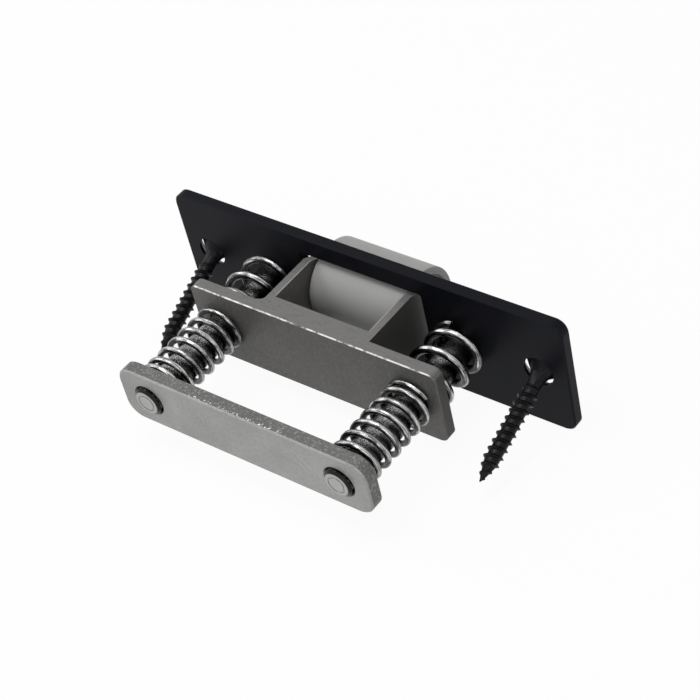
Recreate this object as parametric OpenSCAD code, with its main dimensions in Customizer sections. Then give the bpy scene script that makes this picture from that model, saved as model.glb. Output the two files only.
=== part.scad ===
// Adjustable roller latch with a drop-in faceplate.
// X runs along the faceplate, Y goes from its front face into the door edge, Z is up.
// The origin is the middle of the faceplate's front face. Left is +X.

/* [Faceplate] */
// Length along X
plate_length = 88.9; // [87:0.1:110]
// Height along Z
plate_height = 25.4; // [23:0.1:40]
// Thickness along Y
plate_thickness = 2.4; // [2.2:0.1:4]
// Distance of each fixing hole from the plate's end
fixing_inset = 6.35; // [6:0.05:7.5]
// Radius of the four corners
plate_corner = 2.4; // [1:0.1:6]
// Easing of the front and rear edges
plate_ease = 0.3; // [0.1:0.05:0.6]
// Gap beside each cheek in the roller opening
opening_side_gap = 1.8; // [0.5:0.1:2.5]
// Gap above and below the carriage in the roller opening
opening_end_gap = 0.6; // [0.3:0.05:1.2]
// Radius of the opening's corners
opening_corner = 0.6; // [0.4:0.1:2]

/* [Roller] */
// Diameter of the roller
roller_diameter = 16.5; // [14:0.1:17]
// Length of the roller along X
roller_length = 21; // [14:0.1:21.5]
// Distance of the roller's axis in front of the faceplate
roller_axis_out = 2.1; // [1:0.1:3]
// Rounding of the roller's end edges
roller_edge = 0.3; // [0.2:0.1:1.2]
// Diameter of the axle
axle_diameter = 4; // [3:0.1:5]
// Radial running clearance of the roller on its axle
roller_clearance = 0.05; // [0.02:0.01:0.1]
// Radial fit of the axle in the cheeks
axle_fit = 0.02; // [0.01:0.01:0.05]
// Length of the axle outside each cheek
axle_proud = 0.4; // [0.2:0.1:1]

/* [Carriage] */
// Length of the cross bar along X
carriage_length = 56.6; // [54:0.1:64]
// Height along Z
carriage_height = 16.4; // [16.4:0.1:18.2]
// Thickness of the cross bar
carriage_bar_thickness = 2.5; // [2:0.1:4]
// Thickness of the web between the cheeks, in front of the cross bar
carriage_web_thickness = 1.9; // [1:0.1:2.5]
// Radius of the cross bar's corners
carriage_corner = 1.8; // [1:0.1:4]
// Easing of the cross bar's edges
carriage_ease = 0.2; // [0.1:0.05:0.5]
// Thickness of each cheek
cheek_thickness = 1.65; // [1.4:0.05:2.2]
// Gap between the roller and each cheek
cheek_gap = 0.25; // [0.2:0.05:1]
// Fillet outside the left cheek
cheek_fillet = 1.2; // [0.5:0.1:2]
// Radius of the cheeks' rounded noses
cheek_nose = 5; // [4:0.1:6]
// Distance behind the faceplate at which the cheeks start to narrow
cheek_shoulder = 0.6; // [0.2:0.1:2]
// Radial clearance of the cross bar round each adjusting screw
carriage_clearance = 0.35; // [0.3:0.05:0.8]

/* [Rear bar] */
// Length along X
rear_bar_length = 57.2; // [54:0.1:64]
// Height along Z
rear_bar_height = 12; // [10:0.1:20]
// Thickness along Y
rear_bar_thickness = 2.9; // [2.6:0.1:5]
// Radius of the corners
rear_bar_corner = 3.5; // [1:0.1:5]
// Easing of the edges
rear_bar_ease = 0.3; // [0.1:0.05:0.6]
// Width of the countersunk rim round each screw
rear_bar_rim = 0.35; // [0.3:0.05:1.2]

/* [Adjusting screws] */
// Spacing of the two screws along X
adjuster_spacing = 44; // [43:0.1:46]
// Diameter over the thread
adjuster_diameter = 6; // [5:0.1:6]
// Radial clearance in the faceplate and in the rear bar's thread
adjuster_clearance = 0.05; // [0.02:0.01:0.1]
// Width of the head's cone outside the thread
adjuster_head_rim = 1.8; // [1.4:0.1:2]
// Radial gap round the head in its countersink
adjuster_head_gap = 0.08; // [0.04:0.01:0.15]
// Length of the end behind the rear bar
adjuster_end = 0.8; // [0.7:0.1:1.6]
// Chamfer of the end
adjuster_chamfer = 0.5; // [0.2:0.05:0.95]
// Width of the driver slot
slot_width = 1.2; // [0.8:0.1:1.6]
// Depth of the driver slot
slot_depth = 1; // [0.5:0.1:1.2]

/* [Springs] */
// Length of the front springs as fitted
front_spring_length = 13.25; // [12:0.05:18]
// Wire diameter of the front springs
front_wire = 1.6; // [1.2:0.05:1.6]
// Mean coil radius of the front springs
front_coil_radius = 4.85; // [4.7:0.05:5.2]
// Pitch of the front springs' open turns
front_pitch = 4.85; // [4:0.05:6]
// Height of the front coils above the screws' axes
front_lift = 0.5; // [0:0.05:0.6]
// Length of the rear springs as fitted
rear_spring_length = 18.9; // [16:0.1:26]
// Wire diameter of the rear springs
rear_wire = 1.2; // [0.8:0.05:1.2]
// Mean coil radius of the rear springs
rear_coil_radius = 4.3; // [4.3:0.05:4.8]
// Pitch of the rear springs' open turns
rear_pitch = 2.9; // [2.4:0.05:3.6]
// Height of the rear coils above the screws' axes
rear_lift = 0.4; // [0:0.05:0.4]
// Pitch of the closed end turns, in wire diameters
closed_pitch = 1.15; // [1.05:0.05:1.3]
// Angle at which the left front spring starts, from the top towards +X
front_left_start = 145; // [-180:5:180]
// Closed turns at the start of the left front spring
front_left_lead = 0.6; // [0.2:0.05:1.4]
// Angle at which the right front spring starts
front_right_start = 10; // [-180:5:180]
// Closed turns at the start of the right front spring
front_right_lead = 0.85; // [0.2:0.05:1.4]
// Angle at which the left rear spring starts
rear_left_start = 180; // [-180:5:180]
// Closed turns at the start of the left rear spring
rear_left_lead = 0.6; // [0.2:0.05:1.4]
// Angle at which the right rear spring starts
rear_right_start = -60; // [-180:5:180]
// Closed turns at the start of the right rear spring
rear_right_lead = 0.95; // [0.2:0.05:1.4]
// Closed turns at the end of the front springs
front_tail = 0.35; // [0.2:0.05:1.4]
// Closed turns at the end of the rear springs
rear_tail = 0.9; // [0.2:0.05:1.4]

/* [Wood screws] */
// Diameter over the thread
screw_diameter = 3.7; // [3.4:0.1:3.8]
// Diameter of the neck under the head
screw_neck = 3.7; // [3.2:0.1:3.7]
// Distance from the head's top to the start of the thread
screw_thread_start = 5; // [4.8:0.1:7]
// Length with the head
screw_length = 24.4; // [20:0.1:32]
// Diameter of the head
screw_head = 7.6; // [7.2:0.1:7.6]
// Height of the head's straight rim
screw_rim = 0.25; // [0.1:0.05:0.25]
// Length of the point
screw_point = 5; // [3:0.1:8]
// Width of the fixing holes round the screws
fixing_clearance = 1.25; // [1.2:0.05:1.3]
// Height of the fixing holes' straight land
fixing_land = 0.6; // [0.3:0.05:0.6]
// Depth of the heads' cross recess
recess_depth = 1.5; // [0.8:0.1:2]
// Width of the recess arms
recess_width = 1; // [0.7:0.1:1.2]
// Reach of the recess arms from the screw's axis
recess_reach = 2.3; // [1.6:0.1:2.6]
// Gap between a drooping screw and the rim of its hole
screw_gap = 0.04; // [0.04:0.01:0.15]
// Droop of the left screw, which hangs loosely in its hole
left_droop = 21; // [12:0.5:22]
// Turn of the left screw towards the middle
left_turn = 3; // [0:0.5:3]
// Droop of the right screw
right_droop = 20; // [12:0.5:22]
// Turn of the right screw towards the middle
right_turn = 0; // [0:0.5:3]

/* [Hidden] */
$fn = 64;
small = 0.01;
coil_steps = 24;
coil_sides = 9;
neck_taper = 0.06;
thread_run = 0.4;
fixing_x = plate_length / 2 - fixing_inset;
roller_axis_y = -roller_axis_out;
cheek_inner = roller_length / 2 + cheek_gap;
cheek_outer = cheek_inner + cheek_thickness;
opening_width = 2 * (cheek_outer + opening_side_gap);
opening_height = carriage_height + 2 * opening_end_gap;
bar_front = plate_thickness + front_spring_length;
bar_back = bar_front + carriage_bar_thickness;
web_front = bar_front - carriage_web_thickness;
rear_bar_front = bar_back + rear_spring_length;
rear_bar_back = rear_bar_front + rear_bar_thickness;
adjuster_tip = rear_bar_back + adjuster_end;
adjuster_radius = adjuster_diameter / 2;
adjuster_hole = adjuster_radius + adjuster_clearance;
shoulder_y = plate_thickness + cheek_shoulder;
nose_reach = [shoulder_y - roller_axis_y, carriage_height / 2];
nose_angle = atan2(nose_reach[1], nose_reach[0]) + acos(cheek_nose / norm(nose_reach));
screw_radius = screw_diameter / 2;
neck_radius = screw_neck / 2;
head_cone = screw_head / 2 - neck_radius;
fixing_radius = screw_radius + fixing_clearance;
sink_depth = plate_thickness - fixing_land;

// A round rod or cone along Y from y0, with end radii r0 and r1.
module rod_y(x, y0, length, r0, r1)
    translate([x, y0, 0])
        rotate([-90, 0, 0])
            cylinder(h = length, r1 = r0, r2 = r1);

// A round rod along X, centred on the YZ plane.
module rod_x(y, length, radius)
    translate([-length / 2, y, 0])
        rotate([0, 90, 0])
            cylinder(h = length, r = radius);

// A flat bar from y0 with rounded corners and eased front and rear edges.
module eased_bar(y0, length, height, thickness, corner, ease) {
    long_x = length / 2;
    long_z = height / 2;
    translate([-long_x + corner, y0, 0])
        rotate([90, 0, 90])
            linear_extrude(height = length - 2 * corner)
                eased_outline(long_z, thickness, ease);
    translate([0, y0, -long_z + corner])
        linear_extrude(height = height - 2 * corner)
            rotate([0, 0, -90])
                mirror([1, 0, 0])
                    eased_outline(long_x, thickness, ease);
    for (x = [corner - long_x, long_x - corner], z = [corner - long_z, long_z - corner])
        translate([x, y0, z])
            rotate([-90, 0, 0])
                rotate_extrude()
                    polygon([
                        [0, 0], [corner - ease, 0], [corner, ease],
                        [corner, thickness - ease], [corner - ease, thickness], [0, thickness]
                    ]);
}

// Eight-cornered section of a flat bar: thickness along the first axis, width along the second.
module eased_outline(half_width, thickness, ease)
    polygon([
        [0, ease - half_width], [ease, -half_width],
        [thickness - ease, -half_width], [thickness, ease - half_width],
        [thickness, half_width - ease], [thickness - ease, half_width],
        [ease, half_width], [0, half_width - ease]
    ]);

// Straight-walled window through the faceplate with rounded corners.
module roller_window() {
    half_x = opening_width / 2;
    half_z = opening_height / 2;
    r = opening_corner;
    translate([r - half_x, -1, -half_z])
        cube([opening_width - 2 * r, plate_thickness + 2, opening_height]);
    translate([-half_x, -1, r - half_z])
        cube([opening_width, plate_thickness + 2, opening_height - 2 * r]);
    for (x = [r - half_x, half_x - r], z = [r - half_z, half_z - r])
        translate([0, 0, z])
            rod_y(x, -1, plate_thickness + 2, r, r);
}

module fixing_hole(x) {
    rod_y(x, -1, plate_thickness + 2, fixing_radius, fixing_radius);
    rod_y(x, -small, sink_depth + small, fixing_radius + sink_depth + small, fixing_radius);
}

module adjuster_seat(x) {
    wide = adjuster_radius + adjuster_head_rim + adjuster_head_gap;
    rod_y(x, -1, plate_thickness + 2, adjuster_hole, adjuster_hole);
    rod_y(x, -small, wide - adjuster_hole + small, wide + small, adjuster_hole);
}

module faceplate()
    color([0.03, 0.03, 0.03])
        difference() {
            eased_bar(0, plate_length, plate_height, plate_thickness, plate_corner, plate_ease);
            roller_window();
            for (side = [-1, 1]) {
                fixing_hole(side * fixing_x);
                adjuster_seat(side * adjuster_spacing / 2);
            }
        }

module roller()
    color([0.8, 0.8, 0.78])
        translate([0, roller_axis_y, 0])
            rotate([0, 90, 0])
                rotate_extrude($fn = 128) {
                    bore = axle_diameter / 2 + roller_clearance;
                    outer = roller_diameter / 2;
                    end = roller_length / 2;
                    soft = 0.3 * roller_edge;
                    polygon([
                        [bore, -end], [outer - roller_edge, -end],
                        [outer - soft, soft - end], [outer, roller_edge - end],
                        [outer, end - roller_edge], [outer - soft, end - soft],
                        [outer - roller_edge, end], [bore, end]
                    ]);
                }

module roller_axle()
    color([0.6, 0.6, 0.6])
        rod_x(roller_axis_y, 2 * (cheek_outer + axle_proud), axle_diameter / 2);

// Side shape of a cheek: full height behind the faceplate, then tangent lines to a round nose.
module cheek(x0) {
    top = carriage_height / 2;
    touch_y = roller_axis_y + cheek_nose * cos(nose_angle);
    touch_z = cheek_nose * sin(nose_angle);
    translate([x0, 0, 0])
        rotate([90, 0, 90])
            linear_extrude(height = cheek_thickness)
                polygon([
                    [bar_front + small, top], [shoulder_y, top], [touch_y, touch_z],
                    [touch_y, -touch_z], [shoulder_y, -top], [bar_front + small, -top]
                ]);
    translate([x0 + cheek_thickness / 2, 0, 0])
        rod_x(roller_axis_y, cheek_thickness, cheek_nose);
}

module corner_fillet()
    difference() {
        translate([cheek_outer - small, bar_front - cheek_fillet, -carriage_height / 2])
            cube([cheek_fillet + small, cheek_fillet + carriage_ease, carriage_height]);
        translate([cheek_outer + cheek_fillet, bar_front - cheek_fillet, -carriage_height])
            cylinder(h = 2 * carriage_height, r = cheek_fillet);
    }

module carriage()
    color([0.45, 0.45, 0.45])
        difference() {
            union() {
                eased_bar(bar_front, carriage_length, carriage_height, carriage_bar_thickness,
                    carriage_corner, carriage_ease);
                translate([-cheek_outer, web_front, -carriage_height / 2])
                    cube([2 * cheek_outer, carriage_web_thickness + 1, carriage_height]);
                cheek(cheek_inner);
                cheek(-cheek_outer);
                corner_fillet();
            }
            rod_x(roller_axis_y, 3 * cheek_outer, axle_diameter / 2 + axle_fit);
            for (side = [-1, 1])
                rod_y(side * adjuster_spacing / 2, bar_front - 1, carriage_bar_thickness + 2,
                    adjuster_radius + carriage_clearance, adjuster_radius + carriage_clearance);
        }

module rear_bar()
    color([0.6, 0.6, 0.6])
        difference() {
            eased_bar(rear_bar_front, rear_bar_length, rear_bar_height, rear_bar_thickness,
                rear_bar_corner, rear_bar_ease);
            for (side = [-1, 1]) {
                x = side * adjuster_spacing / 2;
                rod_y(x, rear_bar_front - 1, rear_bar_thickness + 2, adjuster_hole, adjuster_hole);
                rod_y(x, rear_bar_back - rear_bar_rim, rear_bar_rim + small,
                    adjuster_hole, adjuster_hole + rear_bar_rim + small);
            }
        }

// Slotted countersunk screw with a chamfered end and a small centre mark.
module adjusting_screw(x)
    color([0.4, 0.4, 0.4])
        difference() {
            union() {
                rod_y(x, 0, adjuster_head_rim, adjuster_radius + adjuster_head_rim, adjuster_radius);
                rod_y(x, small, adjuster_tip - adjuster_chamfer - small, adjuster_radius, adjuster_radius);
                rod_y(x, adjuster_tip - adjuster_chamfer, adjuster_chamfer,
                    adjuster_radius, adjuster_radius - adjuster_chamfer);
            }
            translate([x - adjuster_diameter, -1, -slot_width / 2])
                cube([2 * adjuster_diameter, 1 + slot_depth, slot_width]);
            rod_y(x, adjuster_tip - 0.4, 0.4 + small, 0.3, 0.7);
        }

module adjusting_screw_left()
    adjusting_screw(adjuster_spacing / 2);

module adjusting_screw_right()
    adjusting_screw(-adjuster_spacing / 2);

// Rise of a coil at turn t: slow over the closed turns at both ends, even between them.
function coil_rise(t, turns, lead, tail, closed, travel) =
    lookup(t, [
        [0, 0], [lead, lead * closed],
        [turns - tail, travel - tail * closed], [turns, travel]
    ]);

// Point of the wire's skin: turn t along the coil from its top, angle around the wire.
function coil_skin(t, around, radius, wire, rise) =
    let (reach = radius + wire / 2 * cos(around))
    [reach * sin(360 * t), rise + wire / 2 * sin(around), reach * cos(360 * t)];

// Right-hand compression spring round the line x, z, from y0 over the stated length.
module coil_spring(x, y0, z, length, radius, wire, pitch, start, lead, tail) {
    n = coil_sides;
    travel = length - wire - 2 * small;
    closed = closed_pitch * wire;
    turns = lead + tail + (travel - (lead + tail) * closed) / pitch;
    steps = ceil(turns * coil_steps);
    skin = [
        for (i = [0:steps], k = [0:n - 1])
            let (t = turns * i / steps)
            coil_skin(t + start / 360, 360 * k / n, radius, wire,
                coil_rise(t, turns, lead, tail, closed, travel))
    ];
    sides = [
        for (i = [0:steps - 1], k = [0:n - 1], half = [0, 1])
            let (a = i * n + k, b = i * n + (k + 1) % n)
            half == 0 ? [a, b, b + n] : [a, b + n, a + n]
    ];
    ends = [
        [for (k = [0:n - 1]) n - 1 - k],
        [for (k = [0:n - 1]) steps * n + k]
    ];
    translate([x, y0 + wire / 2 + small, z])
        polyhedron(points = skin, faces = concat(sides, ends), convexity = 12);
}

module front_spring(x, start, lead)
    color([0.7, 0.7, 0.7])
        coil_spring(x, plate_thickness, front_lift, front_spring_length,
            front_coil_radius, front_wire, front_pitch, start, lead, front_tail);

module front_spring_left()
    front_spring(adjuster_spacing / 2, front_left_start, front_left_lead);

module front_spring_right()
    front_spring(-adjuster_spacing / 2, front_right_start, front_right_lead);

module rear_spring(x, start, lead)
    color([0.7, 0.7, 0.7])
        coil_spring(x, bar_back, rear_lift, rear_spring_length,
            rear_coil_radius, rear_wire, rear_pitch, start, lead, rear_tail);

module rear_spring_left()
    rear_spring(adjuster_spacing / 2, rear_left_start, rear_left_lead);

module rear_spring_right()
    rear_spring(-adjuster_spacing / 2, rear_right_start, rear_right_lead);

// Drop of a screw's axis at the plate's rear face, with its neck lying in the hole's rim.
function screw_drop(droop) = fixing_radius - (neck_radius + screw_gap) / cos(droop);

// Length of a screw ahead of the plate's rear face, with its head lying in the countersink.
function screw_back(droop) =
    let (reach = screw_head / 2 * (sin(droop) + cos(droop)))
    let (spare = reach + fixing_land - fixing_radius - screw_drop(droop) + 2 * screw_gap)
    screw_rim + spare / (cos(droop) - sin(droop));

// Countersunk wood screw that droops in its hole.
module wood_screw(x, droop, turn) {
    color([0.05, 0.05, 0.05])
        translate([x, plate_thickness, -screw_drop(droop)])
            rotate([-90 - droop, 0, turn])
                translate([0, 0, -screw_back(droop)])
                    difference() {
                        rotate_extrude()
                            polygon([
                                [0, 0], [screw_head / 2, 0], [screw_head / 2, screw_rim],
                                [neck_radius, screw_rim + head_cone],
                                [neck_radius - neck_taper, screw_thread_start - thread_run],
                                [screw_radius, screw_thread_start],
                                [screw_radius, screw_length - screw_point],
                                [0.2, screw_length], [0, screw_length]
                            ]);
                        for (arm = [45, 135])
                            rotate([0, 0, arm])
                                translate([-recess_reach, -recess_width / 2, -1])
                                    cube([2 * recess_reach, recess_width, 1 + recess_depth]);
                    }
}

module wood_screw_left()
    wood_screw(fixing_x, left_droop, left_turn);

module wood_screw_right()
    wood_screw(-fixing_x, right_droop, -right_turn);

faceplate();
roller();
roller_axle();
carriage();
adjusting_screw_left();
adjusting_screw_right();
front_spring_left();
front_spring_right();
rear_spring_left();
rear_spring_right();
rear_bar();
wood_screw_left();
wood_screw_right();
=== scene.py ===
import math

import bmesh
import bpy
import numpy as np
from mathutils import Matrix, Vector


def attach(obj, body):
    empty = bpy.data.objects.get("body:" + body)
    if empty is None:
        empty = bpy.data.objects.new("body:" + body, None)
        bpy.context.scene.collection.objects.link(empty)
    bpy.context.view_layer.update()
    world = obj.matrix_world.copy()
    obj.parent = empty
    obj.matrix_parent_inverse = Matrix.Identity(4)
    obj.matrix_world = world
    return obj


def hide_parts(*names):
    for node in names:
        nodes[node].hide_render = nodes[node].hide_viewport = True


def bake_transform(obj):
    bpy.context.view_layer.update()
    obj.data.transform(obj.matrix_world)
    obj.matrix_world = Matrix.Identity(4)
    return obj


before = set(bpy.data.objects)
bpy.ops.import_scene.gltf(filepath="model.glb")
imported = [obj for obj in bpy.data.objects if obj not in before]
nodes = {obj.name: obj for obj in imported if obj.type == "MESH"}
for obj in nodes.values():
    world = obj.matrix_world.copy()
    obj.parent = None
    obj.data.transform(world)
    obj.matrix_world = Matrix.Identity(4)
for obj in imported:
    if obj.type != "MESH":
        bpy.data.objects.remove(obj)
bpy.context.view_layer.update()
mm = 0.001
print("frame loaded:", len(nodes), "nodes")


# camera at the photograph's viewing angle, image taken as 700 x 700
shot = {
    "place": (-0.202676, 0.200037, 0.246243),
    "right": (-0.787573, -0.588695, -0.182121),
    "up": (0.305471, -0.629647, 0.714305),
    "back": (-0.535180, 0.506935, 0.675722),
    "lens": 104.214,
    "shift": (-0.01138, 0.02118),
}


def makeCamera(cfg):
    lens = bpy.data.cameras.new("shotCamera")
    lens.lens = cfg["lens"]
    lens.sensor_width = 36
    lens.shift_x, lens.shift_y = cfg["shift"]
    lens.clip_start, lens.clip_end = 0.01, 20
    camera = bpy.data.objects.new("shotCamera", lens)
    bpy.context.scene.collection.objects.link(camera)
    turn = Matrix((cfg["right"], cfg["up"], cfg["back"])).transposed()
    camera.matrix_world = Matrix.Translation(cfg["place"]) @ turn.to_4x4()
    bpy.context.scene.camera = camera


makeCamera(shot)
print("camera placed")


# a node socket that can be used in sums; any other node comes from add()
class Wire:
    def __init__(self, tree, socket=None):
        self.tree, self.socket = tree, socket

    def add(self, kind, settings=None, sockets=None, out=0):
        node = self.tree.nodes.new(kind)
        for key, value in (settings or {}).items():
            setattr(node, key, value)
        for key, value in (sockets or {}).items():
            if isinstance(value, Wire):
                self.tree.links.new(value.socket, node.inputs[key])
            else:
                node.inputs[key].default_value = value
        return Wire(self.tree, node.outputs[out])

    def maths(self, operation, a, b=0.0, clamp=False):
        return self.add("ShaderNodeMath", {"operation": operation, "use_clamp": clamp}, {0: a, 1: b})

    def __add__(self, other): return self.maths("ADD", self, other)
    def __radd__(self, other): return self.maths("ADD", other, self)
    def __sub__(self, other): return self.maths("SUBTRACT", self, other)
    def __rsub__(self, other): return self.maths("SUBTRACT", other, self)
    def __mul__(self, other): return self.maths("MULTIPLY", self, other)
    def __rmul__(self, other): return self.maths("MULTIPLY", other, self)
    def __pow__(self, other): return self.maths("POWER", self, other)
    def __abs__(self): return self.maths("ABSOLUTE", self)

    # smooth 0 to 1 as the value goes from low to high
    def rise(self, low, high):
        return self.add("ShaderNodeMapRange", {"interpolation_type": "SMOOTHSTEP"},
                        {0: self, 1: low, 2: high, 3: 0.0, 4: 1.0})


# fixed holds the shader's plain socket values
def startMaterial(name, fixed):
    material = bpy.data.materials.new(name)
    material.use_nodes = True
    tree = material.node_tree
    shader = next(n for n in tree.nodes if n.type == "BSDF_PRINCIPLED")
    for socket, value in fixed.items():
        shader.inputs[socket].default_value = value
    return material, Wire(tree), shader


def plug(wire, shader, name):
    wire.tree.links.new(wire.socket, shader.inputs[name])


def objectSpot(w):
    return w.add("ShaderNodeTexCoord", out=3)


# x, y and z of a vector as three values
def parts(w, vector):
    return [w.add("ShaderNodeSeparateXYZ", sockets={0: vector}, out=k) for k in range(3)]


# sizes of the surface normal's x, y and z in the piece's own frame
def facing(w):
    return [abs(value) for value in parts(w, w.add("ShaderNodeTexCoord", out=1))]


def distance(a, b):
    return (a ** 2 + b ** 2) ** 0.5


# scale counts noise cells per metre, or per unit of a stretched map
def noise(w, spot, scale, detail=3.0, rough=0.55):
    return w.add("ShaderNodeTexNoise",
                 sockets={"Vector": spot, "Scale": scale, "Detail": detail, "Roughness": rough})


def stretched(w, spot, scale, turn=(0, 0, 0)):
    return w.add("ShaderNodeMapping", sockets={"Vector": spot, "Scale": scale, "Rotation": turn})


def bump(w, height, depth, strength):
    return w.add("ShaderNodeBump", sockets={"Height": height, "Distance": depth, "Strength": strength})


def shadeMix(w, factor, a, b):
    ends = [value if isinstance(value, Wire) else (*value, 1) for value in (a, b)]
    return w.add("ShaderNodeMix", {"data_type": "RGBA"},
                 {"Factor": factor, 6: ends[0], 7: ends[1]}, out=2)


# black powder coat: fine orange peel, faint cloudiness, edges and hole rims rubbed and painted lighter as
# their highlights, painted shade on the top and bottom faces
blackCoat = {
    "dark": (0.0026, 0.0027, 0.0044), "light": (0.0072, 0.0073, 0.0097), "rough": 0.42,
    "peel": 1500, "cloud": 70, "grain": 5200, "rub": 520,  # noise cells per metre
    "holeX": 38.1, "holeRadius": 3.1, "rimWidth": 0.12,  # mm
    "fixed": {"Specular IOR Level": 0.085, "Specular Tint": (0.80, 0.84, 1.0, 1)},
}


def makeBlackCoat(cfg):
    material, w, shader = startMaterial("blackCoat", cfg["fixed"])
    spot = objectSpot(w)
    peel = noise(w, spot, cfg["peel"], 2.0)
    cloud = noise(w, spot, cfg["cloud"])
    grain = noise(w, spot, cfg["grain"], 2.0)
    rub = noise(w, spot, cfg["rub"], 2.0).rise(0.5, 0.62)
    x, z = parts(w, spot)[::2]
    nx, ny, nz = facing(w)
    fromHole = distance(abs(x) - cfg["holeX"] * mm, z)
    # hole rims rubbed and painted lighter as their glints
    rim = (1 - fromHole.rise(cfg["holeRadius"] * mm, (cfg["holeRadius"] + cfg["rimWidth"]) * mm)) * rub
    # chamfered edges rubbed and painted lighter as their highlight
    edge = (ny * nz + ny * nx).rise(0.25, 0.5)
    wearAndGlint = 0.55 * edge + 0.3 * rim
    # painted shade: the top and bottom faces darkened
    paintedShadeTopAndBottom = nz.rise(0.8, 0.95)
    shade = 0.55 * cloud.rise(0.35, 0.7) + 0.35 * grain + wearAndGlint - 0.5 * paintedShadeTopAndBottom
    plug(shadeMix(w, w.maths("MAXIMUM", shade, 0.0), cfg["dark"], cfg["light"]), shader, "Base Color")
    plug(cfg["rough"] + 0.1 * cloud - 0.14 * wearAndGlint, shader, "Roughness")
    plug(bump(w, peel, 0.03 * mm, 0.5), shader, "Normal")
    return material


# white moulded nylon: soft cloudiness, turning lines round the roller, small scuffs
rollerNylon = {
    "white": (0.365, 0.363, 0.354), "dull": (0.25, 0.249, 0.243), "rough": 0.45,
    "cloud": 160, "grain": 2600, "lines": (5200, 60, 60),
    "scuffs": (900, 240, 240), "scuffTurn": (0.3, 0.2, 0.4),
    "fixed": {"Specular IOR Level": 0.3},
}


def makeRollerNylon(cfg):
    material, w, shader = startMaterial("rollerNylon", cfg["fixed"])
    spot = objectSpot(w)
    cloud = noise(w, spot, cfg["cloud"], 4.0)
    lines = noise(w, stretched(w, spot, cfg["lines"]), 1.0, 2.0)
    grain = noise(w, spot, cfg["grain"], 2.0)
    scuffs = noise(w, stretched(w, spot, cfg["scuffs"], cfg["scuffTurn"]), 1.0).rise(0.66, 0.78)
    nx = facing(w)[0]
    endEdgesDarker = nx.rise(0.15, 0.5) * (1 - nx.rise(0.85, 0.99))  # darker on the rounded end edges
    shade = 0.3 * cloud + 0.3 * scuffs + 0.15 * grain + 0.8 * endEdgesDarker
    plug(shadeMix(w, shade, cfg["white"], cfg["dull"]), shader, "Base Color")
    plug(cfg["rough"] + 0.1 * cloud + 0.1 * scuffs, shader, "Roughness")
    plug(bump(w, 0.6 * lines + 0.4 * grain, 0.03 * mm, 0.35), shader, "Normal")
    return material


# dull blasted extrusion: fine grain, faint draw lines along Z, sawn top and bottom, painted shade on the
# outer cheek faces and bar ends with the inner cheek faces painted a little lighter, a worn line along the
# inner cheek edges painted brighter as a highlight, and a broken painted highlight along the rear top edge
greyExtrusion = {
    "dark": (0.062, 0.060, 0.058), "light": (0.160, 0.157, 0.152), "bright": (0.72, 0.715, 0.705),
    "rough": 0.5, "grain": 2400, "cloud": 120, "breaks": 700,
    "draw": (1500, 1500, 30), "saw": (500, 2100, 500), "sawTurn": (0, 0, 0.5),
    "cheekX": (11.5, 12.2), "innerX": 10.87, "innerEnd": (12.6, 14.2), "rearY": (17.6, 17.85),  # mm
    "fixed": {"Specular IOR Level": 0.3},
}


def makeGreyExtrusion(cfg):
    material, w, shader = startMaterial("greyExtrusion", cfg["fixed"])
    spot = objectSpot(w)
    grain = noise(w, spot, cfg["grain"], 2.0, 0.8)
    cloud = noise(w, spot, cfg["cloud"], 4.0)
    draw = noise(w, stretched(w, spot, cfg["draw"]), 1.0)
    saw = noise(w, stretched(w, spot, cfg["saw"], cfg["sawTurn"]), 1.0)
    breaks = noise(w, spot, cfg["breaks"]).rise(0.3, 0.6)
    x, y = parts(w, spot)[:2]
    nx, ny, nz = facing(w)
    cheekLow, cheekHigh = (value * mm for value in cfg["cheekX"])
    innerLow, innerHigh = (value * mm for value in cfg["innerEnd"])
    rearLow, rearHigh = (value * mm for value in cfg["rearY"])
    sawn = nz.rise(0.75, 0.95)
    paintedSideShade = nx.rise(0.8, 0.95) * (1.2 * abs(x).rise(cheekLow, cheekHigh) - 0.2)  # painted shade on the outer cheek faces and bar ends, the inner faces painted a little lighter
    # painted highlight, broken, along the rear top edge
    edge = y.rise(rearLow, rearHigh) * (ny * nz).rise(0.3, 0.45) * (1 - nx.rise(0.1, 0.4)) * breaks
    # worn line along the cheeks' inner top edges, painted brighter as a highlight
    fromInner = abs(abs(x) - cfg["innerX"] * mm)
    inner = sawn * (1 - fromInner.rise(0.05 * mm, 0.15 * mm)) * (1 - y.rise(innerLow, innerHigh))
    shade = 0.45 * cloud + 0.2 * draw + 1.4 * grain - 0.42
    shade = shade + sawn * (0.42 + 1.5 * (saw - 0.5)) - 0.75 * paintedSideShade
    body = shadeMix(w, w.maths("MAXIMUM", shade, 0.0), cfg["dark"], cfg["light"])
    wearAndGlint = w.maths("ADD", edge, 0.3 * inner, True)
    plug(shadeMix(w, wearAndGlint, body, cfg["bright"]), shader, "Base Color")
    plug(cfg["rough"] + 0.12 * grain - 0.08 * draw - 0.2 * edge, shader, "Roughness")
    plug(0.3 + 0.6 * edge, shader, "Metallic")
    plug(bump(w, grain + 0.4 * draw + sawn * saw, 0.05 * mm, 0.5), shader, "Normal")
    return material


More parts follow.
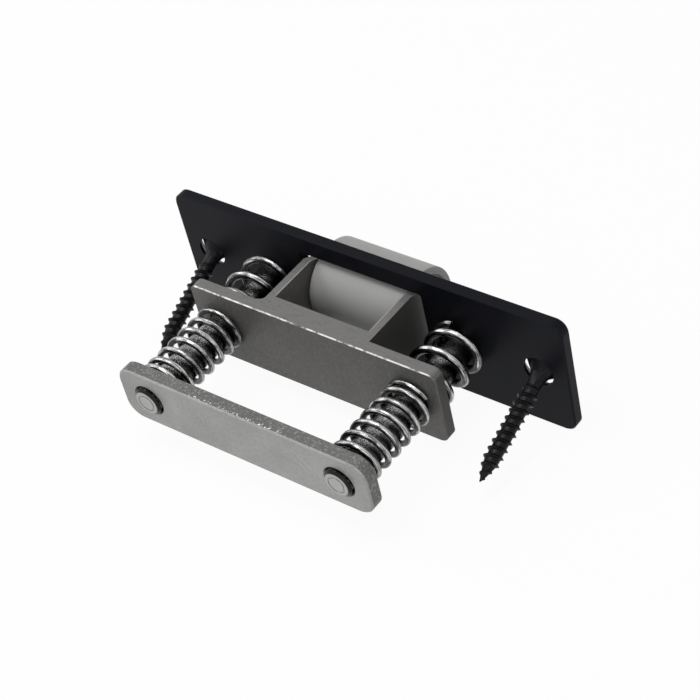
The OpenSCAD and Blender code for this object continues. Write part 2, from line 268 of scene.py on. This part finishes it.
# zinc-plated bar: mottled faces, a few slanting scores, painted shade in the gaps round the posts,
# dull sheared sides with painted glints, most along the middle of the rear edge
zincPlate = {
    "dark": (0.115, 0.114, 0.111), "light": (0.43, 0.428, 0.42), "spark": (0.90, 0.90, 0.89),
    "gapShade": (0.014, 0.014, 0.014), "rough": 0.38,
    "mottle": 1500, "cloud": 90, "pits": 2400, "grain": 3000, "sparks": 2400,
    "sparkX": (6, 15), "sparkY": (38.9, 39.6), "postX": 22, "gapShadeRadius": (3.12, 3.3),  # mm
    "scores": [  # centre x and z, slope, half length
        ((-12.5, 1.0), 38, 3.2), ((-14.2, 1.6), 38, 2.6), ((16.5, -3.4), 62, 1.8),
        ((3.0, -2.0), 20, 1.6), ((9.0, 1.5), 52, 1.2),
    ],
    "fixed": {"Metallic": 0.9},
}


# 1 on a thin straight score in the XZ plane: centre and half length in mm, slope in degrees
def score(x, z, centre, slope, half):
    c, s = math.cos(math.radians(slope)), math.sin(math.radians(slope))
    dx, dz = x - centre[0] * mm, z - centre[1] * mm
    along, off = abs(dx * c + dz * s), abs(dz * c - dx * s)
    return (1 - off.rise(0.03 * mm, 0.14 * mm)) * (1 - along.rise(0.6 * half * mm, half * mm))


def makeZincPlate(cfg):
    material, w, shader = startMaterial("zincPlate", cfg["fixed"])
    spot = objectSpot(w)
    mottle = noise(w, spot, cfg["mottle"], 3.0, 0.7)
    cloud = noise(w, spot, cfg["cloud"])
    pits = noise(w, spot, cfg["pits"]).rise(0.62, 0.74)
    grain = noise(w, spot, cfg["grain"], 3.0, 0.7)
    glints = noise(w, spot, cfg["sparks"], 2.0).rise(0.56, 0.64)
    ny = facing(w)[1]
    x, y, z = parts(w, spot)
    sparkLow, sparkHigh = (value * mm for value in cfg["sparkX"])
    rearLow, rearHigh = (value * mm for value in cfg["sparkY"])
    gapShadeLow, gapShadeHigh = (value * mm for value in cfg["gapShadeRadius"])
    scores = sum(score(x, z, *line) for line in cfg["scores"])
    sheared = 1 - ny.rise(0.35, 0.8)  # the sides, away from the two broad faces
    middle = 1 - abs(x).rise(sparkLow, sparkHigh)
    # painted glints on the sheared sides, most along the middle of the rear edge
    sparks = sheared * glints * (0.12 + 0.9 * middle * y.rise(rearLow, rearHigh))
    ring = 1 - distance(abs(x) - cfg["postX"] * mm, z).rise(gapShadeLow, gapShadeHigh)  # painted shade in the holes' rims, in the gap round each post
    shade = 0.38 + 0.65 * (mottle - 0.5) + 0.55 * cloud + 0.22 * scores - 0.3 * pits
    shade = shade - sheared * (1.15 - 0.95 * grain)
    plain = shadeMix(w, w.maths("ADD", shade, 0.0, True), cfg["dark"], cfg["light"])
    body = shadeMix(w, 0.92 * ring, plain, cfg["gapShade"])
    plug(shadeMix(w, w.maths("ADD", sparks, 0.0, True), body, cfg["spark"]), shader, "Base Color")
    plug(cfg["rough"] + 0.14 * mottle - 0.08 * scores - 0.1 * sparks, shader, "Roughness")
    height = 0.15 * mottle - 0.3 * scores - 0.2 * pits + sheared * (0.9 * grain + 0.6 * mottle)
    plug(bump(w, height, 0.1 * mm, 0.6), shader, "Normal")
    return material


# bright spring wire: drawing streaks along the wire's own UV map, and a painted highlight band with an uneven
# border on the coil's outside, the wire's sides painted dark as shade
springWire = {
    "dark": (0.018, 0.018, 0.019), "light": (0.70, 0.70, 0.69), "rough": 0.08,
    "streaks": (5, 16, 1), "border": (12, 4, 1), "spots": 1100, "band": (0.31, 0.44),
    "fixed": {"Metallic": 1.0},
}


def makeSpringWire(cfg):
    material, w, shader = startMaterial("springWire", cfg["fixed"])
    wireMap = w.add("ShaderNodeUVMap", {"uv_map": "wireMap"})
    v = parts(w, wireMap)[1]
    streaks = noise(w, stretched(w, wireMap, cfg["streaks"]), 1.0).rise(0.42, 0.60)
    border = noise(w, stretched(w, wireMap, cfg["border"]), 1.0, 2.0)
    spots = noise(w, objectSpot(w), cfg["spots"])
    # painted highlight: a bright band on the coil's outside with an uneven border, the sides painted dark as
    # shade
    paintedSheenBand = (abs(v - 0.5) + 0.5 * (border - 0.5)).rise(*cfg["band"])
    shade = w.maths("MULTIPLY", 0.06 + 0.6 * streaks + 0.3 * spots, 0.06 + 0.94 * paintedSheenBand, True)
    plug(shadeMix(w, shade, cfg["dark"], cfg["light"]), shader, "Base Color")
    plug(cfg["rough"] + 0.08 * spots + 0.06 * streaks + 0.1 * (1 - paintedSheenBand), shader, "Roughness")
    plug(bump(w, streaks + 0.4 * spots, 0.06 * mm, 0.4), shader, "Normal")
    return material


# dark plated rod: fine grain, painted brighter in patches along the top as a highlight, clean turned ends and
# painted shade on the run-out behind the rear end, in the groove beside the bar
threadSteel = {
    "dark": (0.072, 0.072, 0.073), "light": (0.55, 0.55, 0.545), "faced": (0.44, 0.44, 0.432),
    "grooveShade": (0.012, 0.012, 0.012), "rough": 0.20,
    "specks": 4200, "cloud": 260, "patches": 420,
    "rodX": 22, "seatY": (39, 39.5), "seatRadius": (2.5, 2.58),  # mm
    "fixed": {"Metallic": 1.0},
}


def makeThreadSteel(cfg):
    material, w, shader = startMaterial("threadSteel", cfg["fixed"])
    spot = objectSpot(w)
    specks = noise(w, spot, cfg["specks"], 2.0)
    cloud = noise(w, spot, cfg["cloud"])
    patches = noise(w, spot, cfg["patches"], 2.0)
    ny, nz = facing(w)[1:]
    x, y, z = parts(w, spot)
    seatLow, seatHigh = (value * mm for value in cfg["seatY"])
    discLow, discHigh = (value * mm for value in cfg["seatRadius"])
    faced = ny.rise(0.9, 0.99)  # the head and the flat end
    # painted shade on the run-out behind the rear end, in the groove beside the bar
    seat = y.rise(seatLow, seatHigh) * distance(abs(x) - cfg["rodX"] * mm, z).rise(discLow, discHigh)
    paintedTopHighlight = (nz + 0.5 * (patches - 0.5)).rise(0.68, 0.95)  # painted highlight in patches along the top
    body = shadeMix(w, specks.rise(0.36, 0.70) * (0.10 + 0.90 * paintedTopHighlight), cfg["dark"], cfg["light"])
    end = shadeMix(w, faced * (0.75 + 0.25 * cloud), body, cfg["faced"])
    plug(shadeMix(w, 0.9 * seat, end, cfg["grooveShade"]), shader, "Base Color")
    plug(cfg["rough"] + 0.12 * cloud + 0.16 * faced, shader, "Roughness")
    plug(bump(w, specks * (1 - 0.95 * faced), 0.1 * mm, 0.5), shader, "Normal")
    return material


# black oxide on the wood screws, oily and a little rubbed
blackOxide = {
    "dark": (0.0028, 0.0028, 0.0040), "light": (0.011, 0.011, 0.0125), "rough": 0.30,
    "specks": 1500, "cloud": 300, "fixed": {"Specular IOR Level": 0.14},
}


def makeBlackOxide(cfg):
    material, w, shader = startMaterial("blackOxide", cfg["fixed"])
    spot = objectSpot(w)
    specks = noise(w, spot, cfg["specks"])
    cloud = noise(w, spot, cfg["cloud"])
    plug(shadeMix(w, specks.rise(0.45, 0.75), cfg["dark"], cfg["light"]), shader, "Base Color")
    plug(cfg["rough"] + 0.2 * cloud, shader, "Roughness")
    plug(bump(w, specks, 0.04 * mm, 0.5), shader, "Normal")
    return material


finishes = {
    "blackCoat": makeBlackCoat(blackCoat),
    "rollerNylon": makeRollerNylon(rollerNylon),
    "greyExtrusion": makeGreyExtrusion(greyExtrusion),
    "zincPlate": makeZincPlate(zincPlate),
    "springWire": makeSpringWire(springWire),
    "threadSteel": makeThreadSteel(threadSteel),
    "blackOxide": makeBlackOxide(blackOxide),
}
print("materials made:", ", ".join(finishes))


# mesh from a grid of points (rows x columns x 3) whose columns close into rings;
# rows may shrink to a point, and coincident points are welded
def ringObject(name, points, finish, uv=None):
    rows, columns = points.shape[:2]
    index = np.arange(rows * columns).reshape(rows, columns)
    turn = np.roll(index, -1, axis=1)
    faces = np.stack([index[:-1], turn[:-1], turn[1:], index[1:]], axis=-1).reshape(-1, 4)
    mesh = bpy.data.meshes.new(name)
    mesh.from_pydata(points.reshape(-1, 3).tolist(), [], faces.tolist())
    if uv is not None:
        layer = mesh.uv_layers.new(name="wireMap")
        a = np.broadcast_to(np.arange(rows)[:, None] / (rows - 1), (rows, columns + 1))
        b = np.broadcast_to(np.arange(columns + 1)[None, :] / columns, (rows, columns + 1))
        grid = np.stack([a * uv, b], axis=-1)
        corners = np.stack([grid[:-1, :-1], grid[:-1, 1:], grid[1:, 1:], grid[1:, :-1]], axis=2)
        layer.data.foreach_set("uv", corners.astype(np.float32).ravel())
    shape = bmesh.new()
    shape.from_mesh(mesh)
    bmesh.ops.remove_doubles(shape, verts=shape.verts, dist=1e-7)
    bmesh.ops.recalc_face_normals(shape, faces=shape.faces)
    shape.to_mesh(mesh)
    shape.free()
    mesh.shade_smooth()
    piece = bpy.data.objects.new(name, mesh)
    bpy.context.scene.collection.objects.link(piece)
    piece.data.materials.append(finishes[finish])
    return piece


# shading creases where two faces meet at more than the given angle
def crease(piece, degrees):
    mesh = piece.data
    shape = bmesh.new()
    shape.from_mesh(mesh)
    for edge in shape.edges:
        edge.smooth = len(edge.link_faces) == 2 and edge.calc_face_angle(0) < math.radians(degrees)
    shape.to_mesh(mesh)
    shape.free()
    return piece


xAxis, yAxis, zAxis = np.eye(3)


# surface of revolution: (radius, distance along the axis) rows turned through a full circle,
# in the frame given by origin, axis, and the two cross directions
def turned(profile, columns, origin, axis, side, top):
    radius, along = profile[:, 0][:, None], profile[:, 1][:, None]
    angle = np.linspace(0, 2 * np.pi, columns, endpoint=False)[None, :]
    spin = np.cos(angle)[..., None] * top + np.sin(angle)[..., None] * side
    return origin + along[..., None] * axis + radius[..., None] * spin


# round corner between two straight runs, as six rows of (radius, distance)
def roundCorner(centre, radius, start, end):
    angle = np.radians(np.linspace(start, end, 6))
    return [(centre[0] + radius * math.cos(a), centre[1] + radius * math.sin(a)) for a in angle]


# faceplate, carriage and rear bar keep the solids' own shapes
plateFinishes = {"faceplate": "blackCoat", "carriage": "greyExtrusion", "rear_bar": "zincPlate"}
for nodeName, finish in plateFinishes.items():
    nodes[nodeName].data.materials.clear()
    nodes[nodeName].data.materials.append(finishes[finish])
print("plates dressed")


# roller: straight barrel with rounded ends, a shallow moulded ring in each end and an eased bore
rollerShape = {
    "radius": 8.248, "half": 10.5, "edge": 0.3, "bore": 2.05, "ease": 0.3, "axisY": -2.1,
    "ring": [(3.6, 0), (3.75, 0.15), (3.9, 0.5), (6.6, 0.5), (6.75, 0.15), (6.9, 0)],  # radius, depth
    "columns": 160, "barrelRows": 22, "crease": 35,
}


def makeRoller(cfg):
    r, h, e, b = cfg["radius"], cfg["half"], cfg["edge"], cfg["bore"]
    end = [(b, h - cfg["ease"]), (b + cfg["ease"], h)] + [(x, h - deep) for x, deep in cfg["ring"]]
    barrel = [(r, y) for y in np.linspace(h - e, e - h, cfg["barrelRows"])[1:-1]]
    half = end + roundCorner((r - e, h - e), e, 90, 0)
    rows = half + barrel + [(x, -y) for x, y in reversed(half)]
    rows.append(rows[0])
    points = turned(np.array(rows) * mm, cfg["columns"], cfg["axisY"] * mm * yAxis, xAxis, yAxis, zAxis)
    piece = crease(ringObject("rollerBarrel", points, "rollerNylon"), cfg["crease"])
    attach(piece, "wheel")
    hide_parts("roller")


makeRoller(rollerShape)


# axle: plain pin with chamfered ends
axleShape = {"radius": 2.0, "half": 12.8, "chamfer": 0.25, "axisY": -2.1, "columns": 64, "crease": 30}


def makeAxle(cfg):
    r, h, c = cfg["radius"], cfg["half"], cfg["chamfer"]
    end = [(0, h), (0.6, h), (r - c, h), (r, h - c)]
    rows = [(x, -y) for x, y in end] + [(r, -6), (r, 0), (r, 6)] + end[::-1]
    points = turned(np.array(rows) * mm, cfg["columns"], cfg["axisY"] * mm * yAxis, xAxis, yAxis, zAxis)
    piece = crease(ringObject("axlePin", points, "threadSteel"), cfg["crease"])
    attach(piece, "slider")
    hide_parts("roller_axle")


makeAxle(axleShape)
print("roller and axle made")


# coil springs: the wire's centre runs round a circle of the coil's radius from its start angle, rises
# slowly over the closed turns at both ends and evenly between; the wire is a circle square to that path
frontSpring = {
    "radius": 4.85, "wire": 1.6, "pitch": 4.85, "lift": 0.5, "from": 2.4, "length": 13.25, "closed": 1.15,
    "tail": 0.35, "gap": 0.01, "sides": 20, "rows": 88, "crease": 50,  # rows in each turn
}
rearSpring = {
    **frontSpring, "radius": 4.3, "wire": 1.2, "pitch": 2.9, "lift": 0.4, "from": 18.15, "length": 18.9,
    "tail": 0.9,
}


def coilPath(cfg, x, start, lead):
    travel = cfg["length"] - cfg["wire"] - 2 * cfg["gap"]
    slow = cfg["closed"] * cfg["wire"]
    ends = lead + cfg["tail"]
    turns = ends + (travel - ends * slow) / cfg["pitch"]
    t = np.linspace(0, turns, int(turns * cfg["rows"]))
    spread = np.linspace(-0.1, 0.1, 9)[:, None]  # the climb is averaged over a fifth of a turn
    climb = np.interp(np.clip(t[None, :] + spread, 0, turns), [0, lead, turns - cfg["tail"], turns],
                      [0, lead * slow, travel - cfg["tail"] * slow, travel]).mean(axis=0)
    angle = 2 * np.pi * t + math.radians(start)
    outward = np.stack([np.sin(angle), 0 * angle, np.cos(angle)], axis=1)
    y = cfg["from"] + cfg["wire"] / 2 + cfg["gap"] + climb
    centre = np.stack([0 * t + x, y, 0 * t + cfg["lift"]], axis=1)
    return centre + cfg["radius"] * outward, outward, turns


def makeSpring(name, cfg, x, start, lead, node):
    path, outward, turns = coilPath(cfg, x, start, lead)
    tangent = np.gradient(path, axis=0)
    tangent /= np.linalg.norm(tangent, axis=1)[:, None]
    across = np.cross(tangent, outward)
    around = np.linspace(0, 2 * np.pi, cfg["sides"], endpoint=False)[None, :, None]
    ring = outward[:, None, :] * np.cos(around) + across[:, None, :] * np.sin(around)
    points = path[:, None, :] + 0.5 * cfg["wire"] * ring
    # sheared ends: rings of falling size close each end flat
    shares = np.array([0.0, 0.5, 0.9])[:, None, None] * 0.5 * cfg["wire"]
    first, last = path[0] + shares * ring[0], path[-1] + shares[::-1] * ring[-1]
    points = np.concatenate([first, points[1:-1], last]) * mm
    piece = crease(ringObject(name, points, "springWire", uv=turns), cfg["crease"])
    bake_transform(piece)
    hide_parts(node)


makeSpring("frontSpringLeft", frontSpring, 22.0, 145, 0.6, "front_spring_left")
makeSpring("frontSpringRight", frontSpring, -22.0, 10, 0.85, "front_spring_right")
makeSpring("rearSpringLeft", rearSpring, 22.0, 180, 0.6, "rear_spring_left")
makeSpring("rearSpringRight", rearSpring, -22.0, -60, 0.95, "rear_spring_right")
print("springs wound")


boxFaces = [(0, 1, 3, 2), (4, 6, 7, 5), (0, 4, 5, 1), (1, 5, 7, 3), (3, 7, 6, 2), (2, 6, 4, 0)]


# driver slot or cross: tapering bars (half length, half width and depth in mm) cut from the head,
# one for each angle in degrees
def cutHead(piece, bar, angles, origin, axis, side, top):
    halfLong, halfWide, depth = bar
    signs = np.array([(a, b) for a in (-1, 1) for b in (-1, 1)], float)
    above, floorShare = 0.4, 0.8
    for angle in angles:
        c, s = math.cos(math.radians(angle)), math.sin(math.radians(angle))
        long, wide = c * top + s * side, c * side - s * top
        spread = (signs[:, :1] * halfLong * long + signs[:, 1:] * halfWide * wide) * mm
        mouth = origin - above * mm * axis + spread
        floor = origin + depth * mm * axis + floorShare * spread
        mesh = bpy.data.meshes.new("driverCut")
        mesh.from_pydata(np.concatenate([mouth, floor]).tolist(), [], boxFaces)
        shape = bmesh.new()
        shape.from_mesh(mesh)
        bmesh.ops.recalc_face_normals(shape, faces=shape.faces)
        shape.to_mesh(mesh)
        shape.free()
        cutter = bpy.data.objects.new("driverCut", mesh)
        bpy.context.scene.collection.objects.link(cutter)
        step = piece.modifiers.new("slot", "BOOLEAN")
        step.operation, step.solver, step.object = "DIFFERENCE", "EXACT", cutter
        bpy.context.view_layer.update()
        whole = piece.evaluated_get(bpy.context.evaluated_depsgraph_get())
        cut = bpy.data.meshes.new_from_object(whole)
        piece.modifiers.clear()
        piece.data = cut
        bpy.data.objects.remove(cutter)
    return piece


# thread on a turned rod: the radius swings between root and crest with the distance along the axis
# less the turn's share of a pitch; it fades in and out at the ends
def threaded(rows, columns, pitch, root, crest, blade, origin, axis, side, top):
    along = rows[:, None]
    angle = np.linspace(0, 2 * np.pi, columns, endpoint=False)[None, :]
    phase = (along / pitch - angle / (2 * np.pi)) % 1.0
    tooth = np.clip(1 - np.abs(phase - 0.5) / blade, 0, 1)
    radius = root[:, None] + (crest - root)[:, None] * tooth
    spin = np.cos(angle)[..., None] * top + np.sin(angle)[..., None] * side
    return origin + (along[..., None] * axis + radius[..., None] * spin) * mm


# adjusting screws: slotted countersunk head, plain shank, fine thread through the rear bar and a
# clean chamfered end with a ring
adjuster = {
    "radius": 3.0, "root": 2.4, "pitch": 1.0, "head": 4.8, "neck": 2.7, "threadFrom": 34.2, "tip": 40.75,
    "chamfer": 0.5, "blade": 0.46, "fadeIn": 0.8, "fadeOut": 0.3, "slot": (6.0, 0.6, 1.0),
    "columns": 44, "shankRows": 36, "turnRows": 14, "crease": 40,
    "cone": [(0.12, 0), (0.03, 0.04), (0.1, 0.2)],  # distance inside the head's rim, depth
    # radius and depth in the flat end
    "face": [(1.85, 0), (1.78, 0.08), (1.6, 0.08), (1.53, 0), (0.7, 0), (0.3, 0.12), (0, 0.12)],
}


def makeAdjuster(name, cfg, x, slotAngle, body, node):
    place = (x * mm * xAxis, yAxis, xAxis, zAxis)  # origin, axis, side, top
    r, tip, start = cfg["radius"], cfg["tip"], cfg["threadFrom"]
    head = [(0, 0), (1.5, 0), (3.0, 0)] + [(cfg["head"] - inside, y) for inside, y in cfg["cone"]]
    head += [(r, 1.8), (r, 2.6)]
    end = [(r - cfg["chamfer"] - 0.03, tip)] + [(radius, tip - deep) for radius, deep in cfg["face"]]
    shank = np.linspace(cfg["neck"], start, cfg["shankRows"])[:-1]
    rows = np.concatenate([shank, np.arange(start, tip - 0.02, cfg["pitch"] / cfg["turnRows"])])
    fade = np.clip((rows - start) / cfg["fadeIn"], 0, 1)
    fade = fade * np.clip((tip - cfg["chamfer"] - rows) / cfg["fadeOut"], 0, 1)
    limit = np.minimum(r, r - cfg["chamfer"] + np.clip(tip - rows, 0, 1))
    root = np.minimum(r + (cfg["root"] - r) * fade, limit)
    thread = threaded(rows, cfg["columns"], cfg["pitch"], root, limit, cfg["blade"], *place)
    front = turned(np.array(head) * mm, cfg["columns"], *place)
    back = turned(np.array(end) * mm, cfg["columns"], *place)
    piece = crease(ringObject(name, np.concatenate([front, thread, back]), "threadSteel"), cfg["crease"])
    cutHead(piece, cfg["slot"], [slotAngle], *place)
    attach(piece, body)
    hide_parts(node)


makeAdjuster("adjusterLeft", adjuster, 22.0, 90, "adjuster_left", "adjusting_screw_left")
makeAdjuster("adjusterRight", adjuster, -22.0, 64, "adjuster_right", "adjusting_screw_right")
print("adjusting screws cut")


# wood screws: countersunk head with a cross recess, coarse sharp thread that tapers to the point
woodScrew = {
    "length": 24.4, "head": 3.8, "rim": 0.25, "root": 1.3, "crest": 1.84, "pitch": 1.56, "point": 4.0,
    "threadFrom": 5.0, "neck": 1.85, "hole": 3.1, "land": 0.6, "gap": 0.04, "plate": 2.4,
    "blade": 0.25, "fadeIn": 1.4, "fadeOut": 1.2, "cross": (2.3, 0.5, 1.5),
    "columns": 48, "turnRows": 30, "crease": 40,
}


# seat of a drooping screw: the neck lies in the hole's rim and the head in the countersink
def screwSeat(cfg, x, droop, turn):
    c, s = math.cos(math.radians(droop)), math.sin(math.radians(droop))
    drop = cfg["hole"] - (cfg["neck"] + cfg["gap"]) / c
    reach = cfg["head"] * (s + c) + cfg["land"] - cfg["hole"] - drop + 2 * cfg["gap"]
    back = cfg["rim"] + reach / (c - s)
    yaw = np.array(Matrix.Rotation(math.radians(turn), 3, "Z"))
    axis = yaw @ np.array([0, c, -s])
    side, top = yaw @ xAxis, yaw @ np.array([0, s, c])
    return (np.array([x, cfg["plate"], -drop]) - back * axis) * mm, axis, side, top


def makeWoodScrew(name, cfg, x, droop, turn, node):
    place = screwSeat(cfg, x, droop, turn)
    wide, rim, thin = cfg["head"], cfg["rim"], cfg["root"]
    start, tip = cfg["threadFrom"], cfg["length"]
    head = [(0, 0), (1.4, 0), (2.8, 0), (wide - 0.1, 0), (wide, 0.08), (wide, rim)]
    # the head's cone runs out in a hollow neck to the thread's root
    head += [(r, rim + wide - r) for r in np.linspace(wide, cfg["neck"] - 0.03, 7)[1:]]
    throat, cone = head[-1]
    hollow = np.linspace(0, 1, 9)[1:]
    head += [(thin + (throat - thin) * (1 - k) ** 2, cone + k * (start - cone)) for k in hollow]
    rows = np.arange(start + 0.05, tip - 0.02, cfg["pitch"] / cfg["turnRows"])
    taper = np.clip((tip - rows) / cfg["point"], 0, 1)
    root = thin * taper ** 0.8 + 0.03
    grow = np.clip((rows - start) / cfg["fadeIn"], 0, 1) * np.clip((tip - rows) / cfg["fadeOut"], 0, 1) ** 0.5
    crest = cfg["crest"] * (0.22 + 0.78 * taper)
    crest = root + np.clip(crest - root, 0, None) * grow
    thread = threaded(rows, cfg["columns"], cfg["pitch"], root, crest, cfg["blade"], *place)
    front = turned(np.array(head) * mm, cfg["columns"], *place)
    point = turned(np.array([(0.0, tip)]) * mm, cfg["columns"], *place)
    piece = crease(ringObject(name, np.concatenate([front, thread, point]), "blackOxide"), cfg["crease"])
    cutHead(piece, cfg["cross"], [45, 135], *place)
    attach(piece, "plate")
    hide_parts(node)


makeWoodScrew("woodScrewLeft", woodScrew, 38.1, 21.0, 3.0, "wood_screw_left")
makeWoodScrew("woodScrewRight", woodScrew, -38.1, 20.0, 0.0, "wood_screw_right")
print("wood screws threaded")


# pale floor and soft studio light
studio = {
    "floorZ": -0.0128, "floorHalf": 3.0, "floor": 0.86, "white": 0.94, "world": 0.30, "aim": (0, 0.012, 0),
    "lamps": [  # name, place, size, power
        ("aboveKey", (0.06, 0.10, 0.70), 0.42, 2.65),
        ("behindFill", (-0.42, 0.52, 0.34), 0.45, 0.62),
        ("leftFill", (0.55, 0.20, 0.40), 0.40, 1.35),
    ],
}


# 1 for rays that show the background: seen directly, mirrored or through something clear
def showing(w):
    rays = ("Is Camera Ray", "Is Glossy Ray", "Is Transmission Ray")
    seen, shiny, clear = (w.add("ShaderNodeLightPath", out=name) for name in rays)
    return w.maths("MAXIMUM", seen, w.maths("MAXIMUM", shiny, clear))


def makeStudio(cfg):
    scene = bpy.context.scene
    scene.view_settings.view_transform = "Standard"
    world = bpy.data.worlds.new("studioWorld")
    scene.world = world
    world.use_nodes = True
    w = Wire(world.node_tree)
    background = next(n for n in world.node_tree.nodes if n.type == "BACKGROUND")
    plug(cfg["world"] + (1 - cfg["world"]) * showing(w), background, "Strength")
    background.inputs["Color"].default_value = (1, 1, 1, 1)

    mesh = bpy.data.meshes.new("paleFloor")
    half, z = cfg["floorHalf"], cfg["floorZ"]
    corners = [(-half, -half, z), (half, -half, z), (half, half, z), (-half, half, z)]
    mesh.from_pydata(corners, [], [(0, 1, 2, 3)])
    floor = bpy.data.objects.new("paleFloor", mesh)
    scene.collection.objects.link(floor)
    pale = (cfg["floor"], cfg["floor"], cfg["floor"], 1)
    fixed = {"Base Color": pale, "Roughness": 0.9, "Specular IOR Level": 0.0}
    material, w, shader = startMaterial("paleFloor", fixed)
    glow = w.add("ShaderNodeEmission", sockets={"Color": (1, 1, 1, 1), "Strength": 1.0})
    plain = Wire(w.tree, shader.outputs[0])
    both = w.add("ShaderNodeMixShader", sockets={0: cfg["white"] * showing(w), 1: plain, 2: glow})
    out = next(n for n in w.tree.nodes if n.type == "OUTPUT_MATERIAL")
    plug(both, out, "Surface")
    floor.data.materials.append(material)

    for name, place, size, power in cfg["lamps"]:
        lamp = bpy.data.lights.new(name, "AREA")
        lamp.shape, lamp.size, lamp.energy = "DISK", size, power
        holder = bpy.data.objects.new(name, lamp)
        scene.collection.objects.link(holder)
        holder.location = place
        holder.rotation_euler = (Vector(place) - Vector(cfg["aim"])).to_track_quat("Z", "Y").to_euler()


makeStudio(studio)
print("studio lit")
